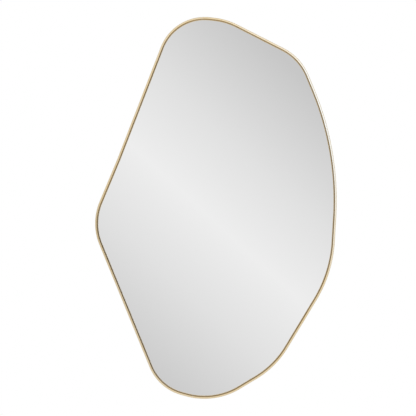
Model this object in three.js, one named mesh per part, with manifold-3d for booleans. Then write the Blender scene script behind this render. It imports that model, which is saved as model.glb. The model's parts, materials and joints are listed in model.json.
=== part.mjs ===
// A wall mirror with an irregular, rounded outline and a slim gold metal frame.
// Millimetres, +Z up. The front faces -Y and the wall is the plane y = 0. The origin lies on the
// wall, midway between the two hooks that the mirror hangs on.

import * as THREE from 'three';
import { mergeVertices } from 'three/addons/utils/BufferGeometryUtils.js';
import Module from 'manifold-3d';

// ---- Driving dimensions -------------------------------------------------------------------

// The frame's outer edge seen from the front, clockwise from the top: round lobes joined by
// straight tangents. x and z are a lobe's centre and r its radius; a negative r is a hollow.
const OUTLINE_LOBES = {
  crown: { x: -32, z: 112, r: 158 },
  shoulder: { x: 91, z: 82, r: 129 },
  flank: { x: -411, z: -167, r: 688 },
  hip: { x: -34, z: -247, r: 307 },
  heel: { x: -25, z: -408, r: 216 },
  foot: { x: -39, z: -476, r: 165 },
  toe: { x: -64, z: -521, r: 115 },
  nose: { x: -166, z: -222, r: 134 },
  flare: { x: -372, z: -20, r: -134 },
  brow: { x: -38, z: 158, r: 113 },
};
const FLATNESS = 0.15; // how far a straight facet may lie from its arc

// The two places where the frame's halves meet, by lobe and by the way the edge faces there
const TOP_SEAM = { lobe: 'brow', facing: 94 };
const BOTTOM_SEAM = { lobe: 'foot', facing: -100 };
const SEAM_GAP = 0.4;

const FIT = 0.3; // clearance between pieces that touch
const WALL_GAP = 3; // from the frame's rear edge to the wall
const FRAME_DEPTH = 25;
const FRAME_WALL = 1.8;
const FRAME_LAND = 3.9; // width of the flat front land
const FRAME_FACE = 7.5; // width of the whole front face
const FACE_SLOPE = 2; // how far the face slopes back to the glass
const LIP_EDGE = 0.8; // thickness left at the sight edge
const EDGE_ROUND = 1; // rounding of the outer front edge
const FLANGE = 9; // width of the rear flange
const FLANGE_THICKNESS = 1.4;
const SLOT = 2.8; // height of the channel in front of the flange
const RIB = 6; // width of the rib in front of the channel
const RIB_THICKNESS = 1.2;

const GLASS_THICKNESS = 4;
const GLASS_INSET = 2.4;
const TAPE_THICKNESS = 0.8;
const TAPE_WIDTH = 25;
const TAPE_STRIPS = [
  { x: -180, low: -430, high: -40 },
  { x: -60, low: -610, high: 230 },
  { x: 60, low: -580, high: 210 },
  { x: 180, low: -450, high: 130 },
];
const BOARD_THICKNESS = 9;
const BOARD_INSET = 3;
const PILOT_DEPTH = 8;

const PLATE_LENGTH = 80;
const PLATE_THICKNESS = 2.2;
const PLATE_SIDES = { outer: 2.1, inner: 8.7 };
const SPLICE_SCREW_INSET = 5.2;
const SPLICE_SCREW_OFFSETS = [-30, -14, 14, 30]; // along the frame, from the seam

const CLIPS_PER_HALF = 4;
const CLIP_WIDTH = 18;
const CLIP_SHEET = 1.5;
const CLIP_TONGUE = 2.4; // inset of the tongue's tip, in the channel
const CLIP_RISER = 9; // inset of the step between tongue and foot
const CLIP_FOOT = 32; // inset of the foot's end
const CLIP_SCREW_INSET = 22;

const HOOK_SPACING = 280; // between the two hooks, and so the two rings
const RING_WIRE = 3.2;
const RING_SIDES = 10; // facets round the wire
const RING_BAR = 16.8; // straight length of the bar
const RING_CORNER = 3; // bend of the wire's centre line beside the bar
const RING_BOW = 11; // bend of the wire's centre line round the bow
const RING_REACH = 22; // from the bar's axis to the wire of the bow
const RING_BUTT_GAP = 0.5; // where the wire's two ends meet, in the middle of the bar
const RING_REST_TILT = 4; // degrees, as the bow rests on its strap
const STRAP_SHEET = 1.2;
const STRAP_WIDTH = 14;
const STRAP_LENGTH = 48; // from the ring's bar to the round end
const STRAP_FOLD_GAP = 0.2;
const STRAP_SCREWS = [29, 41]; // below the ring's bar

const BUMPER_BASE = 9; // radius on the board
const BUMPER_TOP = 7; // radius near the wall
const BUMPERS = {
  upper_left: { x: -80, z: 195 },
  upper_right: { x: 115, z: 190 },
  lower_left: { x: -120, z: -560 },
  lower_right: { x: 85, z: -560 },
};

const SPLICE_SCREW = { shank: 1.5, head: 2.8, headHeight: 1.6, length: 4.2, recess: 0.7 };
const CLIP_SCREW = { shank: 1.75, head: 3.6, headHeight: 2.2, length: 9.4, recess: 0.9, point: 2 };
const STRAP_SCREW = { shank: 2, head: 4.1, headHeight: 2.3, length: 10.4, recess: 1, point: 2 };

// ---- Depth, from the wall forwards ---------------------------------------------------------

const FRAME_REAR = -WALL_GAP;
const FRAME_FRONT = FRAME_REAR - FRAME_DEPTH;
const LIP_REAR = FRAME_FRONT + FACE_SLOPE + LIP_EDGE;
const GLASS_REAR = LIP_REAR + FIT + GLASS_THICKNESS;
const TAPE_REAR = GLASS_REAR + FIT + TAPE_THICKNESS;
const BOARD_REAR = TAPE_REAR + FIT + BOARD_THICKNESS;
const SLOT_REAR = FRAME_REAR - FLANGE_THICKNESS;
const SLOT_FRONT = SLOT_REAR - SLOT;
const RIB_FRONT = SLOT_FRONT - RIB_THICKNESS;
const PLATE_FRONT = SLOT_FRONT + (SLOT - PLATE_THICKNESS) / 2;
const TONGUE_FRONT = SLOT_FRONT + (SLOT - CLIP_SHEET) / 2;
const HARDWARE_FRONT = BOARD_REAR + FIT; // what is screwed to the board starts here
const EYE_INNER = RING_WIRE / 2 + FIT;
const EYE_OUTER = EYE_INNER + STRAP_SHEET;
const RING_AXIS_Y = HARDWARE_FRONT + EYE_OUTER;
const RING_AXIS_Z = -(RING_REACH - RING_WIRE / 2);

// ---- Materials ------------------------------------------------------------------------------

function metal(color, roughness) {
  return new THREE.MeshStandardMaterial({ color, roughness, metalness: 1 });
}

function plain(color, roughness) {
  return new THREE.MeshStandardMaterial({ color, roughness, metalness: 0 });
}

const GOLD = metal(0xd9b77c, 0.3);
const SILVERED = metal(0xdadcdc, 0.02);
const ZINC = metal(0xb9bcbd, 0.35);
const DARK_STEEL = metal(0x54555a, 0.4);
const BOARD_BLACK = plain(0x2b2a29, 0.8);
const TAPE_WHITE = plain(0xe8e6df, 0.9);
const RUBBER = plain(0x1d1d1e, 0.7);

// ---- Outlines of arcs and tangents ----------------------------------------------------------

// The arcs and straight runs of an outline, in order, with the distance at which each starts
function makeOutline(lobeTable) {
  const lobes = Object.entries(lobeTable);
  const facings = lobes.map(([, a], i) => {
    const [, b] = lobes[(i + 1) % lobes.length];
    const heading = Math.atan2(b.z - a.z, b.x - a.x);
    return heading + Math.acos((a.r - b.r) / Math.hypot(b.x - a.x, b.z - a.z));
  });
  const runs = [];
  let start = 0;
  lobes.forEach(([name, lobe], i) => {
    const facing = facings.at(i - 1);
    const turn = Math.atan2(Math.sin(facings[i] - facing), Math.cos(facings[i] - facing));
    const arc = { name, ...lobe, facing, turn, start, length: Math.abs(turn * lobe.r) };
    start += arc.length;
    const next = lobes[(i + 1) % lobes.length][1];
    const from = onLobe(lobe, facings[i]);
    const to = onLobe(next, facings[i]);
    const length = Math.hypot(to.x - from.x, to.z - from.z);
    runs.push(arc, { ...from, turn: 0, start, length });
    start += length;
  });
  return { runs, length: start };
}

function onLobe(lobe, facing) {
  return { x: lobe.x + lobe.r * Math.cos(facing), z: lobe.z + lobe.r * Math.sin(facing), facing };
}

function runAt(outline, distance) {
  const within = THREE.MathUtils.euclideanModulo(distance + 1e-9, outline.length);
  return outline.runs.findLast((run) => run.start <= within);
}

// The point of the edge at a distance along it, and the direction that it faces
function placeAt(outline, distance) {
  const run = runAt(outline, distance);
  const along = THREE.MathUtils.euclideanModulo(distance + 1e-9, outline.length) - run.start;
  if (run.turn !== 0) {
    return onLobe(run, run.facing + (run.turn * along) / run.length);
  }
  return slide(run, along);
}

// Moves a place straight along the edge
function slide(place, by) {
  const { x, z, facing } = place;
  return { x: x + by * Math.sin(facing), z: z - by * Math.cos(facing), facing };
}

// Places from one distance to another, close enough together for FLATNESS
function placesBetween(outline, from, to) {
  const stops = [from];
  while (stops.at(-1) < to - 1e-6) {
    const here = stops.at(-1);
    const run = runAt(outline, here);
    const lap = Math.floor((here + 1e-9) / outline.length) * outline.length;
    const end = Math.min(lap + run.start + run.length, to);
    const facet = run.turn === 0 ? Infinity : Math.sqrt(8 * Math.abs(run.r) * FLATNESS);
    const steps = Math.max(1, Math.ceil((end - here) / facet));
    for (let i = 1; i <= steps; i++) {
      stops.push(here + ((end - here) * i) / steps);
    }
  }
  return stops.map((distance) => placeAt(outline, distance));
}

function seamDistance(outline, seam) {
  const run = outline.runs.find((candidate) => candidate.name === seam.lobe);
  const turned = run.facing - THREE.MathUtils.degToRad(seam.facing);
  return run.start + THREE.MathUtils.euclideanModulo(turned, 2 * Math.PI) * run.r;
}

// The point that lies a given inset from the edge at a place
function insetPoint(place, inset) {
  return new THREE.Vector2(
    place.x - inset * Math.cos(place.facing),
    place.z - inset * Math.sin(place.facing),
  );
}

const EDGE = makeOutline(OUTLINE_LOBES);
const TOP = seamDistance(EDGE, TOP_SEAM);
const BOTTOM = seamDistance(EDGE, BOTTOM_SEAM);
const HALVES = {
  right: { from: TOP - EDGE.length, to: BOTTOM },
  left: { from: BOTTOM, to: TOP },
};

// ---- Solids ---------------------------------------------------------------------------------

const wasm = await Module();
wasm.setup();

function toSolid(geometry) {
  const bare = geometry.clone();
  bare.deleteAttribute('normal');
  bare.deleteAttribute('uv');
  const merged = mergeVertices(bare, 1e-4);
  const corners = [];
  for (let i = 0; i < merged.index.count; i += 3) {
    const triangle = [0, 1, 2].map((k) => merged.index.getX(i + k));
    if (new Set(triangle).size === 3) {
      corners.push(...triangle);
    }
  }
  return new wasm.Manifold(new wasm.Mesh({
    numProp: 3,
    vertProperties: merged.attributes.position.array,
    triVerts: new Uint32Array(corners),
  }));
}

function toGeometry(solid) {
  const mesh = solid.getMesh();
  const geometry = new THREE.BufferGeometry();
  geometry.setAttribute('position', new THREE.BufferAttribute(mesh.vertProperties, 3));
  geometry.setIndex(new THREE.BufferAttribute(mesh.triVerts, 1));
  return geometry;
}

function cut(geometry, cutters) {
  const solids = cutters.map(toSolid);
  return toGeometry(solids.reduce((body, cutter) => body.subtract(cutter), toSolid(geometry)));
}

function trim(geometry, envelope) {
  return toGeometry(toSolid(geometry).intersect(toSolid(envelope)));
}

// A closed section, as [inset, y] corners, carried along places of an outline
function sweep(places, section) {
  const positions = [];
  for (const place of places) {
    for (const [inset, y] of section) {
      const point = insetPoint(place, inset);
      positions.push(point.x, y, point.y);
    }
  }
  const corners = [];
  const count = section.length;
  for (let i = 0; i < places.length - 1; i++) {
    for (let j = 0; j < count; j++) {
      const a = i * count + j;
      const b = i * count + ((j + 1) % count);
      corners.push(a, b, b + count, a, b + count, a + count);
    }
  }
  const last = (places.length - 1) * count;
  const contour = section.map(([inset, y]) => new THREE.Vector2(inset, y));
  for (const [a, b, c] of THREE.ShapeUtils.triangulateShape(contour, [])) {
    corners.push(c, b, a, last + a, last + b, last + c);
  }
  const geometry = new THREE.BufferGeometry();
  geometry.setAttribute('position', new THREE.Float32BufferAttribute(positions, 3));
  geometry.setIndex(corners);
  return geometry;
}

// A flat slab with a front outline of Vector2 points (x, z) and its rear face at y
function slab(points, rear, thickness) {
  const geometry = new THREE.ExtrudeGeometry(new THREE.Shape(points), {
    depth: thickness,
    bevelEnabled: false,
  });
  return geometry.rotateX(Math.PI / 2).translate(0, rear, 0);
}

function paneShape(inset) {
  const places = placesBetween(EDGE, 0, EDGE.length).slice(1);
  return places.map((place) => insetPoint(place, inset));
}

function drill(point, radius, rear, depth) {
  const hole = new THREE.CylinderGeometry(radius, radius, depth, 16);
  return hole.translate(point.x, rear - depth / 2, point.y);
}

// ---- Frame ------------------------------------------------------------------------------------

const FRAME_SECTION = [
  [0, FRAME_REAR],
  [0, FRAME_FRONT + EDGE_ROUND],
  [EDGE_ROUND * 0.3, FRAME_FRONT + EDGE_ROUND * 0.3],
  [EDGE_ROUND, FRAME_FRONT],
  [FRAME_LAND, FRAME_FRONT],
  [FRAME_FACE, FRAME_FRONT + FACE_SLOPE],
  [FRAME_FACE, LIP_REAR],
  [FRAME_WALL, LIP_REAR],
  [FRAME_WALL, RIB_FRONT],
  [RIB, RIB_FRONT],
  [RIB, SLOT_FRONT],
  [FRAME_WALL, SLOT_FRONT],
  [FRAME_WALL, SLOT_REAR],
  [FLANGE, SLOT_REAR],
  [FLANGE, FRAME_REAR],
];

function spliceScrewPoints(seam) {
  return SPLICE_SCREW_OFFSETS.map((offset) => {
    return insetPoint(placeAt(EDGE, seam + offset), SPLICE_SCREW_INSET);
  });
}

// One bent length of the frame, with the screw holes that fall within it
function frameHalf({ from, to }) {
  const places = placesBetween(EDGE, from + SEAM_GAP / 2, to - SEAM_GAP / 2);
  const points = [...spliceScrewPoints(TOP), ...spliceScrewPoints(BOTTOM)];
  const radius = SPLICE_SCREW.shank + FIT;
  const holes = points.map((point) => drill(point, radius, FRAME_REAR + 1, FLANGE_THICKNESS + 2));
  return cut(sweep(places, FRAME_SECTION), holes);
}

function splicePlate(seam) {
  const places = placesBetween(EDGE, seam - PLATE_LENGTH / 2, seam + PLATE_LENGTH / 2);
  const { outer, inner } = PLATE_SIDES;
  const rear = PLATE_FRONT + PLATE_THICKNESS;
  const section = [[outer, rear], [outer, PLATE_FRONT], [inner, PLATE_FRONT], [inner, rear]];
  const radius = SPLICE_SCREW.shank + FIT;
  const holes = spliceScrewPoints(seam).map((point) => {
    return drill(point, radius, rear + 1, PLATE_THICKNESS + 2);
  });
  return cut(sweep(places, section), holes);
}

// ---- Screws ---------------------------------------------------------------------------------

// A pan-head screw that points forwards, with the underside of its head at y = 0
function screw({ shank, head, headHeight, length, recess, point = 0 }) {
  const profile = [
    new THREE.Vector2(0, -length),
    new THREE.Vector2(point > 0 ? shank * 0.3 : shank, -length),
    new THREE.Vector2(shank, -length + point + 0.01),
    new THREE.Vector2(shank, 0),
    new THREE.Vector2(head, 0),
    new THREE.Vector2(head, headHeight * 0.5),
    new THREE.Vector2(head * 0.7, headHeight * 0.9),
    new THREE.Vector2(0, headHeight),
  ];
  const body = new THREE.LatheGeometry(profile, 12);
  const slots = [0, Math.PI / 2].map((angle) => {
    const slot = new THREE.BoxGeometry(head * 1.1, headHeight, recess);
    return slot.rotateY(angle).translate(0, headHeight * 0.95, 0);
  });
  return cut(body, slots);
}

const SPLICE_SCREW_SHAPE = screw(SPLICE_SCREW);
const CLIP_SCREW_SHAPE = screw(CLIP_SCREW);
const STRAP_SCREW_SHAPE = screw(STRAP_SCREW);

// ---- Retaining clips --------------------------------------------------------------------------

const CLIP_SECTION = [
  [CLIP_TONGUE, TONGUE_FRONT + CLIP_SHEET],
  [CLIP_TONGUE, TONGUE_FRONT],
  [CLIP_RISER, TONGUE_FRONT],
  [CLIP_RISER, HARDWARE_FRONT],
  [CLIP_FOOT, HARDWARE_FRONT],
  [CLIP_FOOT, HARDWARE_FRONT + CLIP_SHEET],
  [CLIP_RISER + CLIP_SHEET, HARDWARE_FRONT + CLIP_SHEET],
  [CLIP_RISER + CLIP_SHEET, TONGUE_FRONT + CLIP_SHEET],
];

function clipPlaces() {
  return Object.values(HALVES).flatMap(({ from, to }) => {
    return Array.from({ length: CLIPS_PER_HALF }, (_, i) => {
      return placeAt(EDGE, from + ((to - from) * (i + 0.5)) / CLIPS_PER_HALF);
    });
  });
}

function retainingClip(place) {
  const ends = [slide(place, -CLIP_WIDTH / 2), slide(place, CLIP_WIDTH / 2)];
  const hole = drill(
    insetPoint(place, CLIP_SCREW_INSET),
    CLIP_SCREW.shank + FIT,
    HARDWARE_FRONT + CLIP_SHEET + 1,
    CLIP_SHEET + 2,
  );
  return cut(sweep(ends, CLIP_SECTION), [hole]);
}

// ---- Hangers ----------------------------------------------------------------------------------

// The wire ring, hanging straight down from the axis of its bar at the origin
function dRing() {
  const corner = { x: RING_BAR / 2, z: -RING_CORNER, r: RING_CORNER };
  const outline = makeOutline({
    right_corner: corner,
    bow: { x: 0, z: RING_BOW - RING_REACH, r: RING_BOW },
    left_corner: { ...corner, x: -corner.x },
  });
  const start = (RING_BUTT_GAP - RING_BAR) / 2;
  const places = placesBetween(outline, start, start + outline.length - RING_BUTT_GAP);
  const section = Array.from({ length: RING_SIDES }, (_, i) => {
    const angle = (2 * Math.PI * i) / RING_SIDES;
    return [(Math.cos(angle) * RING_WIRE) / 2, (Math.sin(angle) * RING_WIRE) / 2];
  });
  return sweep(places, section);
}

// The strap seen from its side: up the front leg, round the eye and down the rear leg. The eye
// is centred on the origin, u points to the wall and v upwards.
function strapProfile() {
  const front = -EYE_OUTER;
  const rearLeg = front + STRAP_SHEET + STRAP_FOLD_GAP;
  const closing = THREE.MathUtils.degToRad(-50);
  const profile = new THREE.Shape();
  profile.moveTo(front, -STRAP_LENGTH);
  profile.lineTo(front, 0);
  profile.absarc(0, 0, EYE_OUTER, Math.PI, closing, true);
  profile.lineTo(rearLeg + STRAP_SHEET, -EYE_OUTER - 0.6);
  profile.lineTo(rearLeg + STRAP_SHEET, -STRAP_LENGTH);
  profile.lineTo(rearLeg, -STRAP_LENGTH);
  profile.lineTo(rearLeg, -EYE_OUTER - 0.4);
  profile.absarc(0, 0, EYE_INNER, closing, Math.PI, false);
  profile.lineTo(front + STRAP_SHEET, -STRAP_LENGTH);
  return profile;
}

// The folded strap, with its eye centred on the origin, holes for two screws and a round end
function hangerStrap() {
  const geometry = new THREE.ExtrudeGeometry(strapProfile(), {
    depth: STRAP_WIDTH,
    bevelEnabled: false,
    curveSegments: 14,
  });
  const across = new THREE.Vector3(1, 0, 0);
  const toWall = new THREE.Vector3(0, 1, 0);
  const upwards = new THREE.Vector3(0, 0, 1);
  const turn = new THREE.Matrix4().makeBasis(toWall, upwards, across);
  geometry.applyMatrix4(turn).translate(-STRAP_WIDTH / 2, 0, 0);
  const holes = STRAP_SCREWS.map((below) => {
    return drill(new THREE.Vector2(0, -below), STRAP_SCREW.shank + FIT, EYE_OUTER, 4 * EYE_OUTER);
  });
  return trim(cut(geometry, holes), strapOutline());
}

// The strap's outline seen from behind, a little over its whole thickness
function strapOutline() {
  const radius = STRAP_WIDTH / 2;
  const outline = new THREE.Shape();
  outline.moveTo(-radius, 2 * EYE_OUTER);
  outline.lineTo(radius, 2 * EYE_OUTER);
  outline.absarc(0, radius - STRAP_LENGTH, radius, 0, Math.PI, true);
  return slab(outline.getPoints(8), 2 * EYE_OUTER, 4 * EYE_OUTER);
}

// ---- Bumpers ----------------------------------------------------------------------------------

function bumper() {
  const height = -HARDWARE_FRONT;
  const profile = [
    [0, 0], [BUMPER_BASE, 0], [BUMPER_BASE, 1.2], [BUMPER_TOP, height - 1],
    [BUMPER_TOP - 1, height], [0, height],
  ];
  return new THREE.LatheGeometry(profile.map((corner) => new THREE.Vector2(...corner)), 20);
}

// ---- Assembly -----------------------------------------------------------------------------------

const mirror = new THREE.Group();

function place(name, geometry, material, x = 0, y = 0, z = 0) {
  const mesh = new THREE.Mesh(geometry, material);
  mesh.name = name;
  mesh.position.set(x, y, z);
  mirror.add(mesh);
  return mesh;
}

for (const [side, half] of Object.entries(HALVES)) {
  place(`frame_${side}`, frameHalf(half), GOLD);
}
for (const [end, seam] of Object.entries({ top: TOP, bottom: BOTTOM })) {
  place(`splice_plate_${end}`, splicePlate(seam), ZINC);
  spliceScrewPoints(seam).forEach((point, i) => {
    const name = `splice_screw_${end}_${i + 1}`;
    place(name, SPLICE_SCREW_SHAPE, ZINC, point.x, FRAME_REAR + FIT, point.y);
  });
}

place('mirror_glass', slab(paneShape(GLASS_INSET), GLASS_REAR, GLASS_THICKNESS), SILVERED);
TAPE_STRIPS.forEach(({ x, low, high }, i) => {
  const strip = new THREE.BoxGeometry(TAPE_WIDTH, TAPE_THICKNESS, high - low);
  const y = TAPE_REAR - TAPE_THICKNESS / 2;
  place(`mounting_tape_${i + 1}`, strip, TAPE_WHITE, x, y, (low + high) / 2);
});

const clips = clipPlaces();
const straps = { left: -HOOK_SPACING / 2, right: HOOK_SPACING / 2 };
const pilots = clips.map((clip) => {
  return drill(
    insetPoint(clip, CLIP_SCREW_INSET), CLIP_SCREW.shank + FIT, BOARD_REAR, PILOT_DEPTH);
});
for (const x of Object.values(straps)) {
  for (const below of STRAP_SCREWS) {
    const point = new THREE.Vector2(x, RING_AXIS_Z - below);
    pilots.push(drill(point, STRAP_SCREW.shank + FIT, BOARD_REAR, PILOT_DEPTH));
  }
}
const board = slab(paneShape(BOARD_INSET), BOARD_REAR, BOARD_THICKNESS);
place('backing_board', cut(board, pilots), BOARD_BLACK);

clips.forEach((clip, i) => {
  const { x, y } = insetPoint(clip, CLIP_SCREW_INSET);
  place(`retaining_clip_${i + 1}`, retainingClip(clip), ZINC);
  place(`clip_screw_${i + 1}`, CLIP_SCREW_SHAPE, DARK_STEEL, x, HARDWARE_FRONT + CLIP_SHEET + FIT, y);
});

const STRAP_REAR = HARDWARE_FRONT + 2 * STRAP_SHEET + STRAP_FOLD_GAP;
for (const [side, x] of Object.entries(straps)) {
  place(`hanger_strap_${side}`, hangerStrap(), ZINC, x, RING_AXIS_Y, RING_AXIS_Z);
  const ring = place(`d_ring_${side}`, dRing(), ZINC, x, RING_AXIS_Y, RING_AXIS_Z);
  ring.rotation.x = THREE.MathUtils.degToRad(RING_REST_TILT);
  STRAP_SCREWS.forEach((below, i) => {
    const name = `strap_screw_${side}_${i + 1}`;
    place(name, STRAP_SCREW_SHAPE, DARK_STEEL, x, STRAP_REAR + FIT, RING_AXIS_Z - below);
  });
}

for (const [corner, { x, z }] of Object.entries(BUMPERS)) {
  place(`bumper_${corner}`, bumper(), RUBBER, x, HARDWARE_FRONT, z);
}

export default mirror;
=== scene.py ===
# A wall mirror with an irregular, rounded outline and a slim gold frame: the fine shape of its
# pieces and the finish of every surface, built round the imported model.
# Metres, +Z up. The front faces -Y and the wall is the plane y = 0.

import json
import math
from collections import namedtuple

import bmesh
import bpy
from mathutils import Matrix, Vector


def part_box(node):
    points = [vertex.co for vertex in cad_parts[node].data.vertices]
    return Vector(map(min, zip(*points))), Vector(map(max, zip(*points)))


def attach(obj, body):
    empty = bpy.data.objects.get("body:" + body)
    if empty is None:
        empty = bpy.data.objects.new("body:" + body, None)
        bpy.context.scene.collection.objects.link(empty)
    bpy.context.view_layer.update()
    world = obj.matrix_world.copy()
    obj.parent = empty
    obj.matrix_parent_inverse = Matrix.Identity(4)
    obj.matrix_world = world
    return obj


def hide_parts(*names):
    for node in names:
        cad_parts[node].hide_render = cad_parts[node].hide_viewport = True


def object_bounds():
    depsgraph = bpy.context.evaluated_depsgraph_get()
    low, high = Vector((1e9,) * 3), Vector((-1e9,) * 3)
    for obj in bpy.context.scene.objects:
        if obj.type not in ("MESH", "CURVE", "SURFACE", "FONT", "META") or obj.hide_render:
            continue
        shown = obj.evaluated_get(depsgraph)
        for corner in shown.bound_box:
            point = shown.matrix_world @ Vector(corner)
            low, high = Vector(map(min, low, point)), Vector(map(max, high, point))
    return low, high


MM = 0.001

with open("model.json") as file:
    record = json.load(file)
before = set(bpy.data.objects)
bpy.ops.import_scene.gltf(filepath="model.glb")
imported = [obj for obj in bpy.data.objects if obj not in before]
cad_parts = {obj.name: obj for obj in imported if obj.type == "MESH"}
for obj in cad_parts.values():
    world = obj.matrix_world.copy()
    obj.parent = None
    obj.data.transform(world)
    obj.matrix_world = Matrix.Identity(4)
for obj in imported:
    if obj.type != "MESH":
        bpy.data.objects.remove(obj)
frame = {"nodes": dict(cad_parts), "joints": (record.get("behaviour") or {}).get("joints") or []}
packed_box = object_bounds()

# ---- Camera ---------------------------------------------------------------------------------

LENS = 100.0  # mm, on a sensor 36 mm wide
SENSOR = 36.0
PICTURE_WIDTH = 993 * MM  # what the picture spans at the frame's front
PICTURE_CENTRE = Vector((-30.4 * MM, -28 * MM, -185.3 * MM))


def make_camera():
    camera = bpy.data.objects.new("camera", bpy.data.cameras.new("camera"))
    camera.data.lens = LENS
    camera.data.sensor_width = SENSOR
    camera.data.clip_end = 100
    camera.location = PICTURE_CENTRE - Vector((0, PICTURE_WIDTH * LENS / SENSOR, 0))
    camera.rotation_euler = (math.pi / 2, 0, 0)
    bpy.context.scene.collection.objects.link(camera)
    bpy.context.scene.camera = camera


# ---- Outlines of round lobes and straight tangents ------------------------------------------

Lobe = namedtuple("Lobe", "x z r")
Place = namedtuple("Place", "x z facing")
Run = namedtuple("Run", "lobe place turn start length")

# The frame's outer edge seen from the front, clockwise from the top. A negative r is a hollow.
EDGE_LOBES = {
    "crown": Lobe(-32 * MM, 112 * MM, 158 * MM),
    "shoulder": Lobe(91 * MM, 82 * MM, 129 * MM),
    "flank": Lobe(-411 * MM, -167 * MM, 688 * MM),
    "hip": Lobe(-34 * MM, -247 * MM, 307 * MM),
    "heel": Lobe(-25 * MM, -408 * MM, 216 * MM),
    "foot": Lobe(-39 * MM, -476 * MM, 165 * MM),
    "toe": Lobe(-64 * MM, -521 * MM, 115 * MM),
    "nose": Lobe(-166 * MM, -222 * MM, 134 * MM),
    "flare": Lobe(-372 * MM, -20 * MM, -134 * MM),
    "brow": Lobe(-38 * MM, 158 * MM, 113 * MM),
}
TOP_SEAM = ("brow", math.radians(94))  # lobe, and the way that the edge faces there
BOTTOM_SEAM = ("foot", math.radians(-100))
SEAM_GAP = 0.4 * MM


def on_lobe(lobe, facing):
    x = lobe.x + lobe.r * math.cos(facing)
    return Place(x, lobe.z + lobe.r * math.sin(facing), facing)


def slide(place, by):
    """Moves a place straight along the edge."""
    x = place.x + by * math.sin(place.facing)
    return Place(x, place.z - by * math.cos(place.facing), place.facing)


def tangent_facing(a, b):
    """The way that the straight run from lobe a to lobe b faces."""
    heading = math.atan2(b.z - a.z, b.x - a.x)
    return heading + math.acos((a.r - b.r) / math.hypot(b.x - a.x, b.z - a.z))


class Outline:
    """Arcs and tangents in order, each with the distance at which it starts."""

    def __init__(self, lobes):
        names, lobes = list(lobes), list(lobes.values())
        following = lobes[1:] + lobes[:1]
        facings = [tangent_facing(a, b) for a, b in zip(lobes, following)]
        self.runs, self.length = [], 0.0
        for i, (name, lobe) in enumerate(zip(names, lobes)):
            turn = math.remainder(facings[i] - facings[i - 1], math.tau)
            self.add(name, lobe, on_lobe(lobe, facings[i - 1]), turn, abs(turn * lobe.r))
            leave, arrive = on_lobe(lobe, facings[i]), on_lobe(following[i], facings[i])
            reach = math.hypot(arrive.x - leave.x, arrive.z - leave.z)
            self.add("", lobe, leave, 0.0, reach)

    def add(self, name, lobe, place, turn, length):
        self.runs.append((name, Run(lobe, place, turn, self.length, length)))
        self.length += length

    def seam(self, name, facing):
        """How far along the edge a lobe faces a given way."""
        run = dict(self.runs)[name]
        return run.start + ((run.place.facing - facing) % math.tau) * run.lobe.r

    def place(self, distance):
        within = (distance + 1e-9) % self.length
        run = [r for _, r in self.runs if r.start <= within][-1]
        along = within - run.start
        if run.turn == 0:
            return slide(run.place, along)
        return on_lobe(run.lobe, run.place.facing + run.turn * along / run.length)

    def stops(self, start, end, spacing):
        """Distances from start to end, with one at each change from arc to straight."""
        laps = range(math.floor(start / self.length), math.floor(end / self.length) + 1)
        turns = [lap * self.length + r.start for lap in laps for _, r in self.runs]
        marks = [start, *sorted(t for t in turns if start < t < end), end]
        found = [start]
        for a, b in zip(marks, marks[1:]):
            if b - a < 1e-6:
                continue
            steps = max(1, math.ceil((b - a) / spacing))
            found += [a + (b - a) * (i + 1) / steps for i in range(steps)]
        return found


def inset_point(place, inset, y):
    """The point at a given y that lies inset from the edge."""
    x = place.x - inset * math.cos(place.facing)
    return x, y, place.z - inset * math.sin(place.facing)


EDGE = Outline(EDGE_LOBES)
TOP = EDGE.seam(*TOP_SEAM)
BOTTOM = EDGE.seam(*BOTTOM_SEAM)
HALVES = {"right": (TOP - EDGE.length, BOTTOM), "left": (BOTTOM, TOP)}

# ---- Mesh helpers ---------------------------------------------------------------------------

SMOOTH_UNDER = math.radians(32)


def turn_outward(mesh):
    bm = bmesh.new()
    bm.from_mesh(mesh)
    bmesh.ops.recalc_face_normals(bm, faces=bm.faces)
    bm.to_mesh(mesh)
    bm.free()
    return mesh


def finish_mesh(mesh, smooth_under=SMOOTH_UNDER):
    """Turns the faces outward and shades all but the real edges smooth."""
    turn_outward(mesh)
    mesh.shade_smooth()
    mesh.set_sharp_from_angle(angle=smooth_under)
    return mesh


def packed(kind):
    """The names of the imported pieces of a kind."""
    return sorted(name for name in frame["nodes"] if name.startswith(kind))


def add_piece(name, mesh, body, slot, *materials, stands_for=()):
    piece = bpy.data.objects.new(name, mesh)
    bpy.context.scene.collection.objects.link(piece)
    if not mesh.materials:
        for material in materials:
            mesh.materials.append(material)
    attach(piece, body)
    if stands_for:
        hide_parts(*stands_for)


def round_corners(corners, steps=5):
    """A closed section of (a, b, radius) corners, with an arc in place of each corner."""
    points = []
    for i, (a, b, radius) in enumerate(corners):
        here = Vector((a, b))
        if radius == 0:
            points.append(here)
            continue
        before = (Vector(corners[i - 1][:2]) - here).normalized()
        after = (Vector(corners[(i + 1) % len(corners)][:2]) - here).normalized()
        half = before.angle(after) / 2
        centre = here + (before + after).normalized() * (radius / math.sin(half))
        first = here + before * (radius / math.tan(half)) - centre
        last = here + after * (radius / math.tan(half)) - centre
        swing = first.angle(last)
        for k in range(steps + 1):
            share = k / steps
            weights = (math.sin((1 - share) * swing), math.sin(share * swing))
            points.append(centre + (first * weights[0] + last * weights[1]) / math.sin(swing))
    return points


def distances(line):
    """How far along a line each of its points lies."""
    found = [0.0]
    for a, b in zip(line, line[1:]):
        found.append(found[-1] + (Vector(b) - Vector(a)).length)
    return found


def band_faces(rows, count):
    """The faces between rows of points that each go round count points."""
    faces = []
    for row in range(rows - 1):
        for i in range(count):
            a, b = row * count + i, row * count + (i + 1) % count
            faces.append((a, b, b + count, a + count))
    return faces


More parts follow.
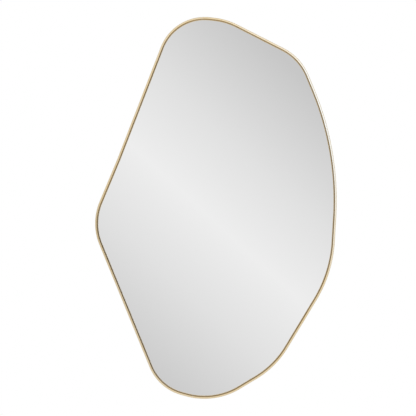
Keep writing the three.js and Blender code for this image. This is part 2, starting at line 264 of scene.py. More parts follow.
def sweep(name, outline, stops, section):
    """A closed section of (inset, y) points carried along an outline and capped at both ends. The
    map named length_and_girth holds the distance along the piece and round its section."""
    places = [outline.place(stop) for stop in stops]
    points = [inset_point(place, inset, y) for place in places for inset, y in section]
    count = len(section)
    girth = distances([*section, section[0]])
    faces = band_faces(len(stops), count)
    corners = []
    for here, there in zip(stops, stops[1:]):
        for a, b in zip(girth, girth[1:]):
            corners += [(here, a), (here, b), (there, b), (there, a)]
    for stop, start in ((stops[0], 0), (stops[-1], (len(stops) - 1) * count)):
        faces.append(range(start, start + count))
        corners += [(stop + point[0], point[1]) for point in section]
    mesh = bpy.data.meshes.new(name)
    mesh.from_pydata(points, [], faces)
    spots = mesh.uv_layers.new(name="length_and_girth")
    spots.data.foreach_set("uv", [value for corner in corners for value in corner])
    return mesh


def lathe(name, profile, sides, bumpiness=None):
    """Turns (radius, height) points about the height axis, which is +Y. bumpiness(radius, height,
    angle) may change a radius, as a thread does."""
    shape = bumpiness or (lambda radius, height, angle: radius)
    points = []
    for radius, height in profile[1:-1]:
        for i in range(sides):
            angle = math.tau * i / sides
            r = shape(radius, height, angle)
            points.append((r * math.cos(angle), height, r * math.sin(angle)))
    rings = len(profile) - 2
    faces = band_faces(rings, sides)
    for pole, ring in ((profile[0], 0), (profile[-1], rings - 1)):
        points.append((0, pole[1], 0))
        faces += [
            (ring * sides + i, ring * sides + (i + 1) % sides, len(points) - 1)
            for i in range(sides)
        ]
    mesh = bpy.data.meshes.new(name)
    mesh.from_pydata(points, [], faces)
    return mesh


def arc(x, y, radius, start, end, steps):
    """Points of an arc, with both angles in degrees."""
    angles = [math.radians(start + (end - start) * i / steps) for i in range(steps + 1)]
    return [(x + radius * math.cos(a), y + radius * math.sin(a)) for a in angles]


def sheet_blank(name, outline, holes, thickness, edge_round):
    """A flat blank cut from sheet metal, in the XY plane, with softened rims."""
    curve = bpy.data.curves.new(name, "CURVE")
    curve.dimensions = "2D"
    curve.fill_mode = "BOTH"
    curve.extrude = thickness / 2 - edge_round
    curve.bevel_depth = edge_round
    curve.bevel_resolution = 1
    curve.offset = -edge_round
    for loop in (outline, *holes):
        spline = curve.splines.new("POLY")
        spline.points.add(len(loop) - 1)
        spline.points.foreach_set("co", [v for x, y in loop for v in (x, y, 0, 1)])
        spline.use_cyclic_u = True
    blank = bpy.data.objects.new(name, curve)
    bpy.context.scene.collection.objects.link(blank)
    view = bpy.context.evaluated_depsgraph_get()
    mesh = bpy.data.meshes.new_from_object(blank.evaluated_get(view))
    bpy.data.objects.remove(blank)
    bpy.data.curves.remove(curve)
    bm = bmesh.new()
    bm.from_mesh(mesh)
    bmesh.ops.remove_doubles(bm, verts=bm.verts, dist=1e-6)
    bm.to_mesh(mesh)
    bm.free()
    return mesh


def fold_line(corners, steps=6):
    """Points along an open line of (u, v, radius) corners, with an arc at each bend."""
    ends = [(*corners[0][:2], 0), *corners[1:-1], (*corners[-1][:2], 0)]
    return round_corners(ends, steps)


def fold(mesh, line, to_space):
    """Bends a blank along a line: x runs along the line, z is the height over it and y stays
    across. to_space turns (u, v, across) into a place in the scene."""
    marks = distances(line)
    directions = [(Vector(b) - Vector(a)).normalized() for a, b in zip(line, line[1:])]
    normals = [Vector((-d.y, d.x)) for d in directions]
    at_marks = [normals[0]]
    at_marks += [(a + b).normalized() for a, b in zip(normals, normals[1:])]
    at_marks.append(normals[-1])
    bm = bmesh.new()
    bm.from_mesh(mesh)
    for mark in marks[1:-1]:
        everything = [*bm.verts, *bm.edges, *bm.faces]
        bmesh.ops.bisect_plane(bm, geom=everything, plane_co=(mark, 0, 0), plane_no=(1, 0, 0))
    for vert in bm.verts:
        x, across, height = vert.co
        i = max(0, min(len(marks) - 2, sum(mark <= x for mark in marks) - 1))
        share = (x - marks[i]) / (marks[i + 1] - marks[i])
        spot = Vector(line[i]).lerp(Vector(line[i + 1]), share)
        normal = at_marks[i].lerp(at_marks[i + 1], min(1, max(0, share)))
        vert.co = to_space(*(spot + normal * height), across)
    bm.to_mesh(mesh)
    bm.free()
    return mesh


def cut_away(mesh, cutter):
    """The mesh less the cutter."""
    body = bpy.data.objects.new("body", mesh)
    tool = bpy.data.objects.new("tool", cutter)
    for thing in (body, tool):
        bpy.context.scene.collection.objects.link(thing)
    modifier = body.modifiers.new("cut", "BOOLEAN")
    modifier.operation = "DIFFERENCE"
    modifier.solver = "EXACT"
    modifier.object = tool
    view = bpy.context.evaluated_depsgraph_get()
    result = bpy.data.meshes.new_from_object(body.evaluated_get(view))
    result.name = mesh.name
    for thing in (body, tool):
        bpy.data.objects.remove(thing)
    return result


# ---- Shader helpers -------------------------------------------------------------------------


def set_input(tree, target, key, value):
    """Gives an input of a node its value, or links an output to it."""
    if isinstance(value, bpy.types.NodeSocket):
        tree.links.new(value, target.inputs[key])
    else:
        target.inputs[key].default_value = value


def node(tree, kind, inputs=None, **settings):
    """A node with its settings and inputs. An input is a value, or an output to link."""
    made = tree.nodes.new(kind)
    for key, value in settings.items():
        setattr(made, key, value)
    for key, value in (inputs or {}).items():
        set_input(tree, made, key, value)
    return made


def maths(tree, operation, a, b=0.0):
    return node(tree, "ShaderNodeMath", {0: a, 1: b}, operation=operation).outputs[0]


def weighted_sum(tree, *parts):
    """The sum of (value, weight) parts."""
    total = 0.0
    for value, weight in parts:
        total = maths(tree, "ADD", total, maths(tree, "MULTIPLY", value, weight))
    return total


def blend_colours(tree, share, a, b, blend_type="MIX"):
    settings = {"data_type": "RGBA", "blend_type": blend_type}
    return node(tree, "ShaderNodeMix", {"Factor": share, 6: a, 7: b}, **settings).outputs[2]


def spread(tree, value, low, high, to_low=0.0, to_high=1.0):
    """Maps a value from low..high to to_low..to_high, and clamps it."""
    inputs = {"Value": value, "From Min": low, "From Max": high}
    inputs |= {"To Min": to_low, "To Max": to_high}
    return node(tree, "ShaderNodeMapRange", inputs).outputs[0]


def colour(red, green, blue):
    return (red, green, blue, 1.0)


def new_group(name, inputs, outputs):
    """An empty node group. inputs and outputs are {name: socket kind, or (kind, value)}."""
    tree = bpy.data.node_groups.new(name, "ShaderNodeTree")
    for key, kind in inputs.items():
        kind, value = kind if isinstance(kind, tuple) else (kind, None)
        socket = tree.interface.new_socket(key, in_out="INPUT", socket_type=kind)
        if value is not None:
            socket.default_value = value
    for key, kind in outputs.items():
        tree.interface.new_socket(key, in_out="OUTPUT", socket_type=kind)
    return tree, tree.nodes.new("NodeGroupInput").outputs, tree.nodes.new("NodeGroupOutput")


def use_group(tree, group, inputs):
    made = tree.nodes.new("ShaderNodeGroup")
    made.node_tree = group
    for key, value in inputs.items():
        set_input(tree, made, key, value)
    return made.outputs


VECTOR, FLOAT = "NodeSocketVector", "NodeSocketFloat"
SCRATCH_TURNS = ((0.3, 0.5, 0.9), (0.8, -0.4, -0.6))


def noise(tree, vector, scale, detail=3.0, roughness=0.5):
    inputs = {"Vector": vector, "Scale": scale, "Detail": detail, "Roughness": roughness}
    return node(tree, "ShaderNodeTexNoise", inputs).outputs[0]


def make_grain_group():
    """Fine parallel lines, as drawing and brushing leave on metal. Stretch is how much longer
    than wide a line is."""
    inputs = {"Vector": VECTOR, "Fineness": (FLOAT, 2000.0), "Stretch": (FLOAT, 60.0)}
    tree, given, out = new_group("drawn_grain", inputs, {"Lines": FLOAT})
    along = maths(tree, "DIVIDE", given["Fineness"], given["Stretch"])
    steps = node(tree, "ShaderNodeCombineXYZ", {0: along, 1: given["Fineness"], 2: along})
    vectors = {0: given["Vector"], 1: steps.outputs[0]}
    stretched = node(tree, "ShaderNodeVectorMath", vectors, operation="MULTIPLY").outputs[0]
    fine = noise(tree, stretched, 1.0, 2.0, 0.6)
    broad = noise(tree, stretched, 0.23, 1.0)
    both = weighted_sum(tree, (fine, 0.65), (broad, 0.35))
    tree.links.new(spread(tree, both, 0.3, 0.7), out.inputs["Lines"])
    return tree


def make_cloud_group():
    """Slow variation of a finish over its surface."""
    inputs = {"Vector": VECTOR, "Size": (FLOAT, 0.05), "Contrast": (FLOAT, 0.5)}
    tree, given, out = new_group("cloudy_tone", inputs, {"Tone": FLOAT})
    scale = maths(tree, "DIVIDE", 1.0, given["Size"])
    broad = noise(tree, given["Vector"], scale, 4.0, 0.55)
    half = maths(tree, "MULTIPLY", given["Contrast"], 0.5)
    low = maths(tree, "SUBTRACT", 0.5, half)
    high = maths(tree, "ADD", 0.5, half)
    tone = spread(tree, spread(tree, broad, 0.3, 0.7), 0.0, 1.0, low, high)
    tree.links.new(tone, out.inputs["Tone"])
    return tree


def make_dust_group():
    """Sparse specks with a faint film between them."""
    inputs = {"Vector": VECTOR, "Speck Size": (FLOAT, 0.002), "Amount": (FLOAT, 0.2)}
    tree, given, out = new_group("settled_dust", inputs, {"Dust": FLOAT})
    scale = maths(tree, "DIVIDE", 1.0, given["Speck Size"])
    cells = node(tree, "ShaderNodeTexVoronoi", {"Vector": given["Vector"], "Scale": scale})
    specks = spread(tree, cells.outputs["Distance"], 0.10, 0.22, 1.0, 0.0)
    lot = node(tree, "ShaderNodeSeparateColor", {0: cells.outputs["Color"]}).outputs[0]
    kept = spread(tree, lot, 0.72, 0.9)
    film = noise(tree, given["Vector"], maths(tree, "MULTIPLY", scale, 0.05), 4.0)
    film = maths(tree, "MULTIPLY", spread(tree, film, 0.45, 0.75), 0.5)
    dust = maths(tree, "ADD", maths(tree, "MULTIPLY", specks, kept), film)
    tree.links.new(maths(tree, "MULTIPLY", dust, given["Amount"]), out.inputs["Dust"])
    return tree


def make_scratch_group():
    """A few thin straight scratches that lie in two directions."""
    inputs = {"Vector": VECTOR, "Length": (FLOAT, 0.02), "Amount": (FLOAT, 0.5)}
    tree, given, out = new_group("hairline_scratches", inputs, {"Scratches": FLOAT})
    scale = maths(tree, "DIVIDE", 1.0, given["Length"])
    found = None
    for turn in SCRATCH_TURNS:
        placing = {"Vector": given["Vector"], "Rotation": turn, "Scale": (1.0, 26.0, 1.0)}
        lying = node(tree, "ShaderNodeMapping", placing).outputs[0]
        off = maths(tree, "SUBTRACT", noise(tree, lying, scale, 1.0), 0.72)
        thin = spread(tree, maths(tree, "ABSOLUTE", off), 0.0, 0.012, 1.0, 0.0)
        found = thin if found is None else maths(tree, "MAXIMUM", found, thin)
    tree.links.new(maths(tree, "MULTIPLY", found, given["Amount"]), out.inputs["Scratches"])
    return tree


GRAIN = make_grain_group()
CLOUDS = make_cloud_group()
DUST = make_dust_group()
SCRATCHES = make_scratch_group()


def lay_grain(tree, vector, fineness, stretch):
    inputs = {"Vector": vector, "Fineness": fineness, "Stretch": stretch}
    return use_group(tree, GRAIN, inputs)["Lines"]


def lay_clouds(tree, vector, size, contrast):
    inputs = {"Vector": vector, "Size": size, "Contrast": contrast}
    return use_group(tree, CLOUDS, inputs)["Tone"]


def lay_dust(tree, vector, speck_size, amount):
    inputs = {"Vector": vector, "Speck Size": speck_size, "Amount": amount}
    return use_group(tree, DUST, inputs)["Dust"]


def lay_scratches(tree, vector, length, amount):
    inputs = {"Vector": vector, "Length": length, "Amount": amount}
    return use_group(tree, SCRATCHES, inputs)["Scratches"]


def new_material(name, **settings):
    """A material with only its shader. settings are sockets that are the same all over."""
    material = bpy.data.materials.new(name)
    material.use_nodes = True
    tree = material.node_tree
    tree.nodes.clear()
    shader = tree.nodes.new("ShaderNodeBsdfPrincipled")
    output = tree.nodes.new("ShaderNodeOutputMaterial")
    tree.links.new(shader.outputs[0], output.inputs[0])
    for key, value in settings.items():
        shader.inputs[key.replace("_", " ").title().replace("Ior", "IOR")].default_value = value
    return material, tree, shader


def object_place(tree):
    return node(tree, "ShaderNodeTexCoord").outputs["Object"]


def dress(tree, shader, base, roughness, height=None, depth=0.0, strength=1.0):
    """Gives a shader its colour, its roughness and, from a height, the relief of its surface."""
    tree.links.new(base, shader.inputs["Base Color"])
    tree.links.new(roughness, shader.inputs["Roughness"])
    if height is not None:
        inputs = {"Height": height, "Distance": depth, "Strength": strength}
        relief = node(tree, "ShaderNodeBump", inputs)
        tree.links.new(relief.outputs[0], shader.inputs["Normal"])


# ---- Finishes -------------------------------------------------------------------------------

LAND_GOLD = colour(0.90, 0.765, 0.545)
LAND_GOLD_WARM = colour(0.87, 0.71, 0.455)
# The slope's golds are painted shade: darker than the land's gold, standing in for the shade down
# to the glass.
PAINTED_SHADE_GOLD = colour(0.57, 0.43, 0.255)
PAINTED_SHADE_GOLD_DARK = colour(0.50, 0.36, 0.185)
GOLD_LINE = colour(0.42, 0.3, 0.16)
GOLD_ROUGHNESS = 0.20
PLATE_ZINC = colour(0.62, 0.635, 0.65)
WIRE_ZINC = colour(0.68, 0.69, 0.70)


def make_frame_gold():
    """Satin champagne gold, with painted shade on the slope down to the glass: a deeper gold there.
    """
    material, tree, shader = new_material("champagne_gold", metallic=1.0, coat_roughness=0.25)
    spot = node(tree, "ShaderNodeUVMap", uv_map="length_and_girth").outputs[0]
    place = object_place(tree)
    lines = lay_grain(tree, spot, 9000.0, 110.0)
    tone = lay_clouds(tree, place, 0.05, 0.9)
    scratches = lay_scratches(tree, place, 0.035, 0.6)
    slope_painted_shade = node(tree, "ShaderNodeAttribute", attribute_name="slope_painted_shade").outputs["Fac"]
    land = blend_colours(tree, tone, LAND_GOLD, LAND_GOLD_WARM)
    slope = blend_colours(tree, tone, PAINTED_SHADE_GOLD, PAINTED_SHADE_GOLD_DARK)
    # The slope takes the darker gold: painted shade between the land and the lip.
    gold = blend_colours(tree, slope_painted_shade, land, slope)
    lined = blend_colours(tree, maths(tree, "MULTIPLY", lines, 0.06), gold, GOLD_LINE)
    marks = weighted_sum(tree, (lines, 0.10), (scratches, 0.2))
    rough = maths(tree, "ADD", marks, GOLD_ROUGHNESS)
    dress(tree, shader, lined, rough, maths(tree, "SUBTRACT", lines, scratches), 0.00003, 0.5)
    return material


def make_silvered_face():
    """Polished glass with silver behind it, a touch duller in a few wiped patches."""
    material, tree, shader = new_material("silvered_face", metallic=1.0)
    place = object_place(tree)
    tone = lay_clouds(tree, place, 0.4, 0.6)
    dust = lay_dust(tree, place, 0.004, 0.05)
    silver = blend_colours(tree, tone, colour(0.928, 0.928, 0.928), colour(0.936, 0.936, 0.936))
    wiped = weighted_sum(tree, (spread(tree, tone, 0.3, 0.8, 0.0, 0.012), 1.0), (dust, 0.2))
    dress(tree, shader, silver, wiped)
    return material


def make_glass_edge():
    """The ground edge of float glass, green with depth."""
    material, tree, shader = new_material("ground_glass_edge", ior=1.52, coat_weight=0.3)
    lines = lay_grain(tree, object_place(tree), 3000.0, 4.0)
    green = blend_colours(tree, lines, colour(0.22, 0.40, 0.34), colour(0.42, 0.58, 0.52))
    dress(tree, shader, green, spread(tree, lines, 0.0, 1.0, 0.3, 0.5), lines, 0.00005)
    return material


def make_backing_paint():
    """The grey paint that protects the silver."""
    material, tree, shader = new_material("backing_paint", coat_weight=0.0)
    place = object_place(tree)
    tone = lay_clouds(tree, place, 0.03, 0.8)
    grey = blend_colours(tree, tone, colour(0.16, 0.19, 0.20), colour(0.20, 0.23, 0.24))
    rough = spread(tree, tone, 0.0, 1.0, 0.45, 0.6)
    dress(tree, shader, grey, rough, noise(tree, place, 900.0), 0.00004)
    return material


def make_board_paint():
    """Matt black roller paint on fibreboard: a fine orange peel and some dust."""
    material, tree, shader = new_material("black_board_paint", specular_ior_level=0.35)
    place = object_place(tree)
    tone = lay_clouds(tree, place, 0.12, 1.0)
    dust = lay_dust(tree, place, 0.002, 0.08)
    peel = noise(tree, place, 700.0)
    fibres = noise(tree, place, 190.0, 4.0, 0.7)
    black = blend_colours(tree, tone, colour(0.026, 0.025, 0.024), colour(0.034, 0.032, 0.031))
    dusty = blend_colours(tree, dust, black, colour(0.30, 0.29, 0.27))
    rough = spread(tree, tone, 0.0, 1.0, 0.55, 0.75)
    dress(tree, shader, dusty, rough, weighted_sum(tree, (peel, 0.5), (fibres, 0.5)), 0.00012, 0.7)
    return material


def make_raw_edge():
    """The cut edge of the fibreboard, brown and fuzzy."""
    material, tree, shader = new_material("raw_fibre_edge", specular_ior_level=0.2)
    place = object_place(tree)
    layers = lay_grain(tree, place, 1400.0, 12.0)
    brown = blend_colours(tree, layers, colour(0.30, 0.19, 0.105), colour(0.43, 0.29, 0.17))
    rough = spread(tree, layers, 0.0, 1.0, 0.8, 0.95)
    dress(tree, shader, brown, rough, noise(tree, place, 1500.0, 4.0), 0.0002)
    return material


def make_zinc(name, tint, roughness):
    """Bright zinc plate on steel: faint spangle, drawing lines and dull scuffs."""
    material, tree, shader = new_material(name, metallic=1.0)
    place = object_place(tree)
    lines = lay_grain(tree, place, 2600.0, 18.0)
    tone = lay_clouds(tree, place, 0.006, 1.0)
    scratches = lay_scratches(tree, place, 0.006, 0.8)
    dull = [channel * 0.78 for channel in tint[:3]]
    plate = blend_colours(tree, tone, tint, colour(*dull))
    cloudy = spread(tree, tone, 0.0, 1.0, roughness - 0.06, roughness + 0.12)
    rough = weighted_sum(tree, (cloudy, 1.0), (scratches, 0.15))
    dress(tree, shader, plate, rough, maths(tree, "SUBTRACT", lines, scratches), 0.00002, 0.6)
    return material


def make_dark_steel():
    """Blackened screws, rubbed brighter on the rims of the head."""
    material, tree, shader = new_material("blackened_steel", metallic=1.0)
    place = object_place(tree)
    tone = lay_clouds(tree, place, 0.002, 1.0)
    edges = node(tree, "ShaderNodeNewGeometry").outputs["Pointiness"]
    rubbed = maths(tree, "MULTIPLY", spread(tree, edges, 0.52, 0.6), tone)
    black = blend_colours(tree, tone, colour(0.055, 0.054, 0.057), colour(0.11, 0.105, 0.11))
    worn = blend_colours(tree, rubbed, black, colour(0.36, 0.35, 0.34))
    rough = spread(tree, tone, 0.0, 1.0, 0.30, 0.48)
    dress(tree, shader, worn, rough, noise(tree, place, 3000.0), 0.00002)
    return material


def make_rubber():
    """Moulded black rubber with a fine matt skin."""
    material, tree, shader = new_material("black_rubber", specular_ior_level=0.4)
    place = object_place(tree)
    dust = lay_dust(tree, place, 0.0012, 0.25)
    tone = lay_clouds(tree, place, 0.005, 1.0)
    black = blend_colours(tree, tone, colour(0.016, 0.016, 0.017), colour(0.028, 0.027, 0.027))
    dusty = blend_colours(tree, dust, black, colour(0.22, 0.21, 0.2))
    rough = spread(tree, tone, 0.0, 1.0, 0.55, 0.75)
    dress(tree, shader, dusty, rough, noise(tree, place, 4000.0), 0.00003)
    return material


def make_foam_tape():
    """White foam tape with a fine skin of small cells, and painted shade darkening the pits of the
    cells.
    """
    material, tree, shader = new_material("white_foam_tape", specular_ior_level=0.25)
    place = object_place(tree)
    voronoi = node(tree, "ShaderNodeTexVoronoi", {"Vector": place, "Scale": 2600.0})
    cells = voronoi.outputs["Distance"]
    tone = lay_clouds(tree, place, 0.01, 0.8)
    white = blend_colours(tree, tone, colour(0.76, 0.75, 0.70), colour(0.84, 0.83, 0.79))
    # The pits are darkened: painted shade in the hollows of the cells.
    painted_pit_shade = spread(tree, cells, 0.0, 0.3, 0.25, 0.0)
    tape_with_painted_pit_shade = blend_colours(tree, painted_pit_shade, white, colour(0.5, 0.49, 0.45))
    dress(tree, shader, tape_with_painted_pit_shade, spread(tree, tone, 0.0, 1.0, 0.7, 0.9), cells, 0.00008)
    return material


# ---- Gold frame -----------------------------------------------------------------------------

FRAME_STEP = 2.5 * MM  # along the edge
FRAME_WALL = 1.8 * MM
LAND_TURN = 1.7 * MM  # inset at which the front land turns down to the outer edge
LAND_TURN_DROP = 0.57 * MM  # from the frame's front back to that turn
LAND_EDGE_DROP = 1.1 * MM  # from the frame's front back to the land's outer edge
LAND_SPARE = 0.02 * MM  # what the rounding of the land's inner corner takes off again
FRAME_LAND = 4.0 * MM  # inset of the land's inner corner, then of the slope's end and the lip's
FRAME_SLOPE = 6.9 * MM
FRAME_FACE = 7.5 * MM
FLANGE = 9 * MM
FLANGE_THICKNESS = 1.4 * MM
SLOT = 2.8 * MM
RIB = 6 * MM
RIB_THICKNESS = 1.2 * MM
FACE_SLOPE = 2.3 * MM  # how far the face falls back to the glass
LIP_EDGE = 0.5 * MM
PAINTED_SHADE_BLEND = 0.15 * MM  # width over which the land's gold goes over into the slope's painted shade


def frame_section():
    """The frame's section as (inset, y) points: a land that falls outward, slope, lip at the
    glass, rib, channel and rear flange. The third value of a corner is its rounding."""
    low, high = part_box("frame_left")
    front, rear = low.y, high.y
    lip_rear = front + FACE_SLOPE + LIP_EDGE
    slot_rear = rear - FLANGE_THICKNESS
    slot_front = slot_rear - SLOT
    rib_front = slot_front - RIB_THICKNESS
    corners = [
        (0, rear, 0.5 * MM),
        (0, front + LAND_EDGE_DROP, 0.8 * MM),
        (LAND_TURN, front + LAND_TURN_DROP, 4 * MM),
        (FRAME_LAND, front - LAND_SPARE, 0.3 * MM),
        (FRAME_SLOPE, front + FACE_SLOPE, 0.3 * MM),
        (FRAME_FACE, front + FACE_SLOPE, 0.2 * MM),
        (FRAME_FACE, lip_rear, 0.2 * MM),
        (FRAME_WALL, lip_rear, 0.3 * MM),
        (FRAME_WALL, rib_front, 0.3 * MM),
        (RIB, rib_front, 0.25 * MM),
        (RIB, slot_front, 0.25 * MM),
        (FRAME_WALL, slot_front, 0.3 * MM),
        (FRAME_WALL, slot_rear, 0.3 * MM),
        (FLANGE, slot_rear, 0.3 * MM),
        (FLANGE, rear, 0.4 * MM),
    ]
    return round_corners(corners)


def mark_painted_shade(mesh, section, rings):
    """Where the slope's painted shade lies: 1 on the slope between the land and the lip, 0
    elsewhere.
    """
    front = min(point.y for point in section)
    values = []
    for inset, y in section:
        on_face = y < front + FACE_SLOPE + LIP_EDGE / 2
        reach = min(inset - FRAME_LAND, FRAME_SLOPE - inset) / PAINTED_SHADE_BLEND
        values.append(min(1.0, max(0.0, 0.5 + reach)) if on_face else 0.0)
    attribute = mesh.attributes.new("slope_painted_shade", "FLOAT", "POINT")
    attribute.data.foreach_set("value", values * rings)


def make_frame_halves(gold):
    section = frame_section()
    for side, (start, end) in HALVES.items():
        stops = EDGE.stops(start + SEAM_GAP / 2, end - SEAM_GAP / 2, FRAME_STEP)
        mesh = sweep(f"gold_frame_{side}", EDGE, stops, section)
        # marks where the slope's painted shade goes
        mark_painted_shade(mesh, section, len(stops))
        finish_mesh(mesh)
        add_piece(mesh.name, mesh, "mirror", "frame_gold", gold, stands_for=[f"frame_{side}"])


# ---- Glass, board and tape ------------------------------------------------------------------

GLASS_INSET = 2.4 * MM
GLASS_ARRIS = 0.5 * MM
PANE_STEP = 3 * MM
TAPE_BULGE = 0.25 * MM
TAPE_CORNER = 1.5 * MM


def make_pane(silvered, edge, paint):
    """The mirror glass, with a ground arris round both faces."""
    low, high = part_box("mirror_glass")
    places = [EDGE.place(stop) for stop in EDGE.stops(0, EDGE.length, PANE_STEP)[:-1]]
    rings = [
        (GLASS_INSET + GLASS_ARRIS, low.y), (GLASS_INSET, low.y + GLASS_ARRIS),
        (GLASS_INSET, high.y - GLASS_ARRIS), (GLASS_INSET + GLASS_ARRIS, high.y),
    ]
    points = [inset_point(place, inset, y) for inset, y in rings for place in places]
    count = len(places)
    faces = [range(count), range(3 * count, 4 * count), *band_faces(4, count)]
    mesh = bpy.data.meshes.new("silvered_pane")
    mesh.from_pydata(points, [], faces)
    for material in (silvered, edge, paint):
        mesh.materials.append(material)
    mesh.polygons.foreach_set("material_index", [0, 2] + [1] * (3 * count))
    finish_mesh(mesh)
    add_piece("silvered_pane", mesh, "mirror", "silvered_glass", stands_for=["mirror_glass"])


def repaint(piece, *materials):
    """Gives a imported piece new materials. Its shape stays."""
    piece.data.materials.clear()
    for material in materials:
        piece.data.materials.append(material)


def finish_board(paint, raw_edge):
    """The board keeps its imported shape: painted faces and raw edges."""
    board = frame["nodes"]["backing_board"]
    repaint(board, paint, raw_edge)
    for face in board.data.polygons:
        face.material_index = 0 if abs(face.normal.y) > 0.5 else 1


def make_tape(foam):
    """Strips of foam tape, with edges that bulge a little where they are pressed."""
    upright = Matrix.Rotation(math.pi / 2, 4, "X")
    for name in packed("mounting_tape"):
        low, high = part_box(name)
        half, middle = (high.x - low.x) / 2, (low.x + high.x) / 2
        outline = rounded_rectangle(-half, half, low.z, high.z, TAPE_CORNER)
        new_name = name.replace("mounting", "foam")
        mesh = sheet_blank(new_name, outline, [], high.y - low.y, TAPE_BULGE)
        mesh.transform(Matrix.Translation((middle, (low.y + high.y) / 2, 0)) @ upright)
        finish_mesh(mesh)
        add_piece(mesh.name, mesh, "mirror", "tape_white", foam, stands_for=[name])


def rounded_rectangle(left, right, low, high, radius, steps=5):
    corners = [
        (right - radius, low + radius, -90), (right - radius, high - radius, 0),
        (left + radius, high - radius, 90), (left + radius, low + radius, 180),
    ]
    arcs = [arc(x, y, radius, start, start + 90, steps) for x, y, start in corners]
    return [point for points in arcs for point in points]


# ---- Screws ---------------------------------------------------------------------------------

# shank and head are radii, and point is the length of the tapered tip
ScrewSize = namedtuple("ScrewSize", "shank head head_height recess pitch point")
SCREW_SIZES = {
    "splice_screw": ScrewSize(1.5 * MM, 2.8 * MM, 1.6 * MM, 0.7 * MM, 0.5 * MM, 0),
    "clip_screw": ScrewSize(1.75 * MM, 3.6 * MM, 2.2 * MM, 0.9 * MM, 1.3 * MM, 2 * MM),
    "strap_screw": ScrewSize(2 * MM, 4.1 * MM, 2.3 * MM, 1 * MM, 1.5 * MM, 2 * MM),
}
SCREW_SIDES = 28
CORE = 0.86  # radius between the threads, as a share of the shank's
THREAD = 0.22  # height of the thread, as a share of the shank's radius
CROSS_TURNS = (math.radians(11), math.radians(37))  # of the first screw, and added for each next


def cross_cutter(size):
    """The tapered cross that a driver fits: a twelve-sided plug, wider at its mouth."""
    points = []
    foot, mouth = size.head_height * 0.35, size.head_height * 1.3
    for height, share in ((foot, 0.0), (mouth, 1.0)):
        long, short = size.head * (0.28 + 0.3 * share), size.recess * (0.4 + 0.12 * share)
        arm = ((long, -short), (long, short), (short, short))
        for turn in range(4):
            c, s = round(math.cos(turn * math.pi / 2)), round(math.sin(turn * math.pi / 2))
            points += [(x * c - z * s, height, x * s + z * c) for x, z in arm]
    faces = [*band_faces(2, 12), range(12), range(12, 24)]
    mesh = bpy.data.meshes.new("cross")
    mesh.from_pydata(points, [], faces)
    return turn_outward(mesh)


def screw_mesh(kind, length):
    """A pan-head screw that points to -Y, with the underside of its head at y = 0."""
    size = SCREW_SIZES[kind]
    tip = -length
    threaded = length - size.point
    rows = int(threaded / size.pitch * 6)
    profile = [(0, tip)]
    if size.point:
        profile.append((size.shank * 0.18, tip + size.point * 0.12))
    core = size.shank * CORE
    profile += [(core, tip + size.point + threaded * i / rows) for i in range(rows)]
    profile += [(size.shank * 0.9, -0.02 * MM), (size.head * 0.97, 0)]
    profile.append((size.head, 0.12 * size.head_height))
    profile += [
        (size.head * math.cos(a) ** 0.55, size.head_height * (0.3 + 0.7 * math.sin(a)))
        for a in (math.radians(9 * i) for i in range(1, 10))
    ]
    profile.append((0, size.head_height))

    def thread(radius, height, angle):
        if not tip + size.point * 0.5 < height < -0.5 * MM:
            return radius
        phase = (height / size.pitch - angle / math.tau) % 1
        return radius + size.shank * THREAD * max(0, 1 - abs(phase - 0.5) * 4)

    mesh = turn_outward(lathe(kind, profile, SCREW_SIDES, thread))
    return finish_mesh(cut_away(mesh, cross_cutter(size)), math.radians(40))


def make_screws(kind, material, slot):
    """A finely made screw in the place of each packed one, with its cross turned its own way."""
    shared = None
    for i, name in enumerate(packed(kind)):
        low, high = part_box(name)
        underside = high.y - SCREW_SIZES[kind].head_height
        if shared is None:
            shared = screw_mesh(kind, underside - low.y)
        mesh = shared.copy()
        turn = Matrix.Rotation(CROSS_TURNS[0] + CROSS_TURNS[1] * i, 4, "Y")
        middle = ((low.x + high.x) / 2, underside, (low.z + high.z) / 2)
        mesh.transform(Matrix.Translation(middle) @ turn)
        add_piece(f"cross_{name}", mesh, "mirror", slot, material, stands_for=[name])


# ---- Retaining clips ------------------------------------------------------------------------

CLIPS_PER_HALF = 4
CLIP_WIDTH = 18 * MM
CLIP_SHEET = 1.5 * MM
CLIP_TONGUE = 2.4 * MM
CLIP_RISER = 9.75 * MM  # inset of the sheet's middle in the step
CLIP_FOOT = 32 * MM
CLIP_SCREW_INSET = 22 * MM
CLIP_HOLE = 2.05 * MM  # radius, as is each of the next two
CLIP_BEND = 1.3 * MM
CLIP_CORNER = 4 * MM
CLIP_RIM = 0.2 * MM  # softening of the sheet's cut edges


def clip_mesh(name, place):
    """A strip bent twice: its tongue lies in the frame's channel and its foot on the board."""
    low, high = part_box(name)
    tongue_y, foot_y = high.y - CLIP_SHEET / 2, low.y + CLIP_SHEET / 2
    line = fold_line([
        (CLIP_TONGUE, tongue_y, 0), (CLIP_RISER, tongue_y, CLIP_BEND),
        (CLIP_RISER, foot_y, CLIP_BEND), (CLIP_FOOT, foot_y, 0),
    ])
    length = distances(line)[-1]
    half, corner = CLIP_WIDTH / 2, CLIP_CORNER
    outline = [(0, -half), *arc(length - corner, corner - half, corner, -90, 0, 6)]
    outline += [*arc(length - corner, half - corner, corner, 0, 90, 6), (0, half)]
    hole = arc(length - (CLIP_FOOT - CLIP_SCREW_INSET), 0, CLIP_HOLE, 0, 345, 23)
    blank = sheet_blank(name, outline, [hole], CLIP_SHEET, CLIP_RIM)

    def to_space(inset, y, across):
        return inset_point(slide(place, across), inset, y)

    return finish_mesh(fold(blank, line, to_space))


def make_clips(zinc):
    number = 0
    for start, end in HALVES.values():
        for i in range(CLIPS_PER_HALF):
            number += 1
            name = f"retaining_clip_{number}"
            place = EDGE.place(start + (end - start) * (i + 0.5) / CLIPS_PER_HALF)
            mesh = clip_mesh(name, place)
            add_piece(f"bent_clip_{number}", mesh, "mirror", "zinc", zinc, stands_for=[name])


# ---- Hangers --------------------------------------------------------------------------------

